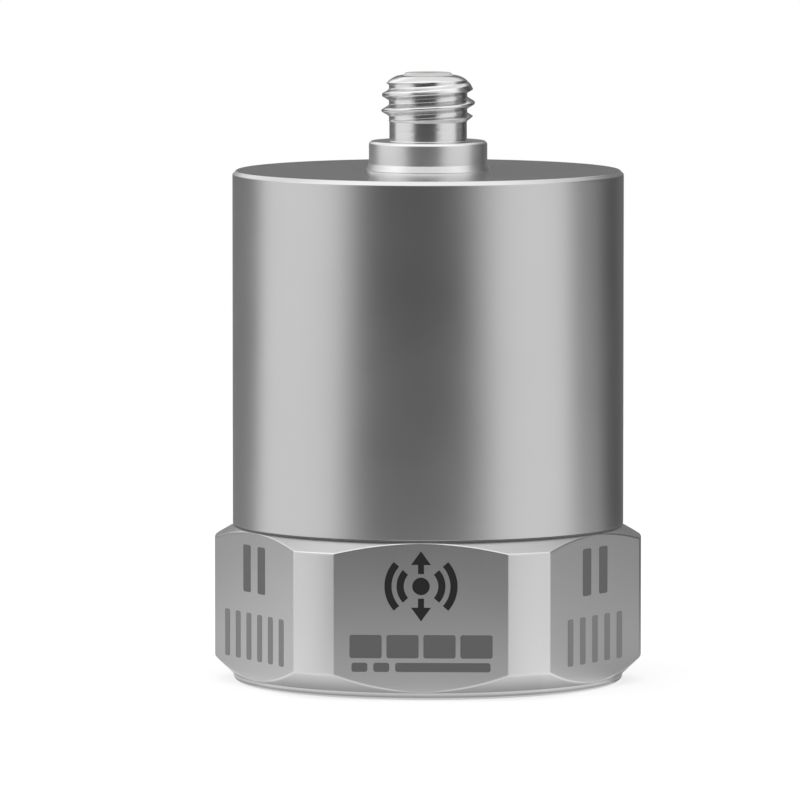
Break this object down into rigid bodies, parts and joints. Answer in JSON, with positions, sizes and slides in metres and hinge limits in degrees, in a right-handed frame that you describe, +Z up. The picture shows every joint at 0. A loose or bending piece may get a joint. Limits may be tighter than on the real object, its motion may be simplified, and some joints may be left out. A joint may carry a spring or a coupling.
{
  "type": "vibration sensor",
  "caption": "Industrial accelerometer: hexagon base with a tapped hole underneath, round welded steel housing and a threaded coaxial connector on top.",
  "frame": {"origin": "centre of the flat mounting face under the base", "axes": "+Z up along the sensor's axis towards the connector; -Y out of the front flat of the hexagon; +X out of the corner to the right of it"},
  "size_m": [0.0218, 0.02, 0.0311],
  "materials": {
    "base_steel": "satin turned and milled stainless steel",
    "housing_steel": "fine satin turned stainless steel",
    "connector_metal": "bright turned, nickel-plated",
    "insulator": "machined fluoropolymer, slightly waxy",
    "contact_gold": "gold-plated copper alloy",
    "seal_glass": "fused sealing glass",
    "ring_steel": "ground steel",
    "board": "glass-fibre board under solder mask",
    "chip": "moulded epoxy on tinned leads",
    "lead_wire": "tinned copper wire with solder",
    "piezo_ceramic": "fired piezo-ceramic",
    "mass_metal": "ground heavy metal",
    "pillar_brass": "turned brass",
    "screw_steel": "machined steel",
    "resistor": "glazed ceramic with tinned ends",
    "capacitor": "fired ceramic with tinned ends"
  },
  "bodies": {
    "root": {"amplifier_chip": "chip", "base": "base_steel", "board_screw_1": "screw_steel", "board_screw_2": "screw_steel", "board_screw_3": "screw_steel", "capacitor_1": "capacitor", "capacitor_2": "capacitor", "centre_contact": "contact_gold", "circuit_board": "board", "connector_dielectric": "insulator", "connector_shell": "connector_metal", "glass_seal": "seal_glass", "housing": "housing_steel", "output_lead": "lead_wire", "piezo_plate_1": "piezo_ceramic", "piezo_plate_2": "piezo_ceramic", "piezo_plate_3": "piezo_ceramic", "preload_ring": "ring_steel", "resistor_1": "resistor", "resistor_2": "resistor", "resistor_3": "resistor", "seismic_mass_1": "mass_metal", "seismic_mass_2": "mass_metal", "seismic_mass_3": "mass_metal", "signal_lead": "lead_wire", "standoff_1": "pillar_brass", "standoff_2": "pillar_brass", "standoff_3": "pillar_brass"}
  },
  "joints": []
}
